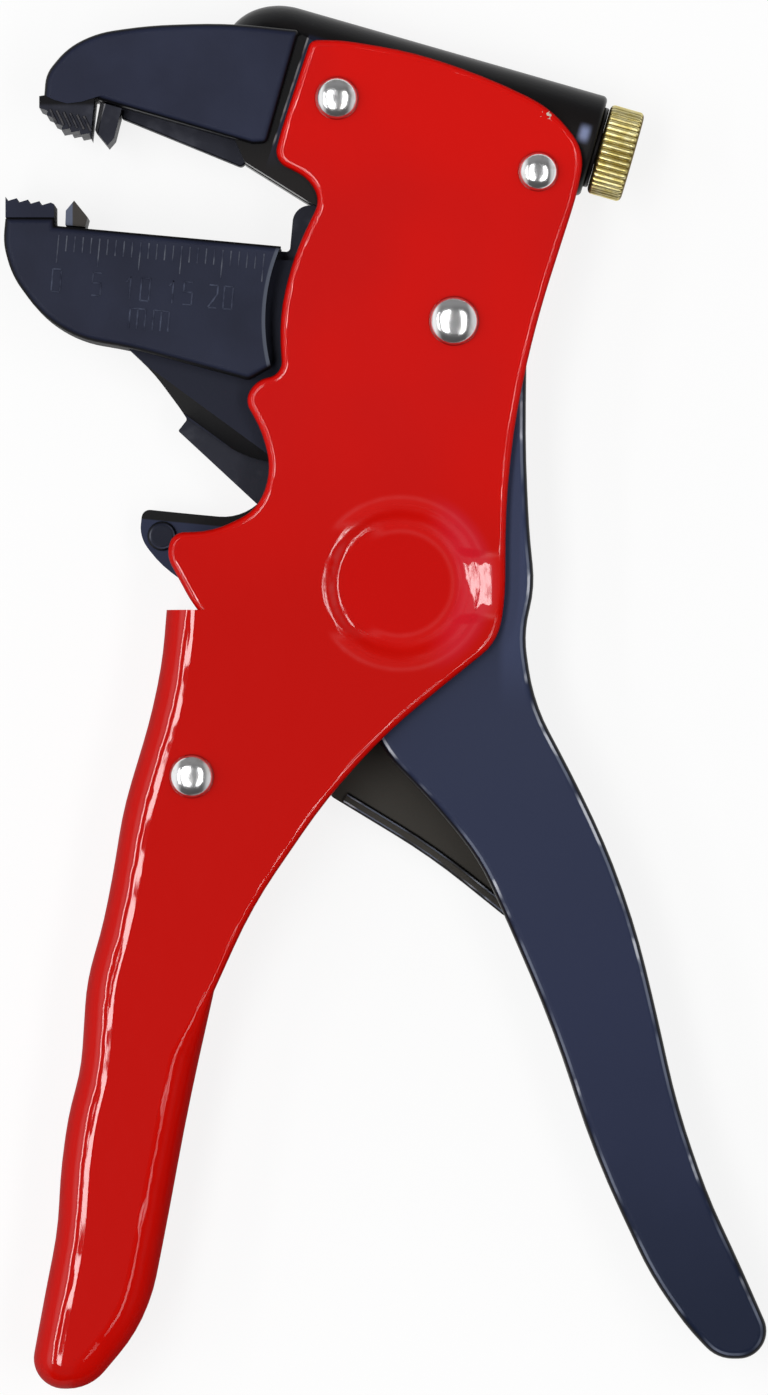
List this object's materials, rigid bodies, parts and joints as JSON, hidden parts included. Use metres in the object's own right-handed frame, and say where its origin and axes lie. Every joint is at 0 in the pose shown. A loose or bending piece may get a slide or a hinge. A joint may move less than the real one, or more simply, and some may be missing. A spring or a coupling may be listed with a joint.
{
  "type": "automatic wire stripper",
  "caption": "Hand tool with a folded red frame, fixed and swinging jaws, sliding stripping blades, a wire cutter, a spring tube with a brass adjusting knob and a dark channel handle.",
  "frame": {"origin": "on the main pivot's axis, in the plane of the flat rivet tails that the tool lies on", "axes": "+Y towards the jaws, +X towards the dark handle, +Z out of the near plate with the domed rivet heads"},
  "size_m": [0.0926, 0.1683, 0.0185],
  "materials": {
    "red_paint": "thick glossy signal-red enamel on pressed sheet steel",
    "dark_casting": "semi-matt blue-black coating on castings",
    "dark_steel": "blackened tool steel, ground edges",
    "rivet_chrome": "bright plated, a little scuffed",
    "brass": "turned and knurled brass",
    "bright_steel": "oiled bright steel"
  },
  "bodies": {
    "frame": {"frame": "red_paint", "upper_jaw": "dark_casting", "upper_grip_pad": "dark_steel", "front_rivet": "rivet_chrome", "rear_rivet": "rivet_chrome", "main_pivot_rivet": "rivet_chrome", "stop_rivet": "rivet_chrome", "pivot_bush": "bright_steel", "stop_sleeve": "bright_steel", "pivot_washers": "bright_steel"},
    "handle": {"handle": "dark_casting", "return_spring": "bright_steel"},
    "lower_jaw": {"lower_jaw": "dark_casting", "lower_grip_pad": "dark_steel", "cutter_blade": "dark_steel", "cutter_rivets": "bright_steel"},
    "upper_blade_slide": {"upper_blade_bar": "dark_steel", "upper_blade": "dark_steel", "plunger": "bright_steel", "blade_spring": "bright_steel"},
    "lower_blade_slide": {"lower_blade_bar": "dark_steel", "lower_blade": "dark_steel"},
    "spring_seat": {"spring_seat": "bright_steel"},
    "adjuster": {"adjuster_screw": "bright_steel", "adjuster_knob": "brass"}
  },
  "joints": [
    {"name": "handle_squeeze", "type": "hinge", "parent": "frame", "child": "handle", "pos_m": [0, 0, 0.0088], "axis": [0, 0, -1], "range_deg": [0, 18], "stiffness_Nm_per_rad": 1.2, "springref_deg": -20.05, "deforming": ["return_spring"]},
    {"name": "lower_jaw_close", "type": "hinge", "parent": "frame", "child": "lower_jaw", "pos_m": [0, 0, 0.0088], "axis": [0, 0, -1], "range_deg": [0, 9]},
    {"name": "upper_blade_pull", "type": "slide", "parent": "frame", "child": "upper_blade_slide", "axis": [0.9613, -0.2756, 0], "range_m": [0, 0.00475], "deforming": ["blade_spring"]},
    {"name": "lower_blade_pull", "type": "slide", "parent": "lower_jaw", "child": "lower_blade_slide", "axis": [0.9958, -0.0912, 0], "range_m": [0, 0.00475]},
    {"name": "adjuster_travel", "type": "slide", "parent": "frame", "child": "spring_seat", "axis": [0.9613, -0.2756, 0], "range_m": [0, 0.004], "deforming": ["blade_spring"]},
    {"name": "adjuster_turn", "type": "hinge", "parent": "spring_seat", "child": "adjuster", "pos_m": [0.01976, 0.02073, 0.0088], "axis": [0.9613, -0.2756, 0], "range_deg": [0, 1440]}
  ],
  "couplings": [
    {"joint": "lower_jaw_close", "follows": "handle_squeeze", "ratio": 0.5},
    {"joint": "upper_blade_pull", "follows": "handle_squeeze", "m_per_rad": 0.015098},
    {"joint": "lower_blade_pull", "follows": "handle_squeeze", "m_per_rad": 0.015098},
    {"joint": "adjuster_turn", "follows": "adjuster_travel", "rad_per_m": 6283.2}
  ]
}
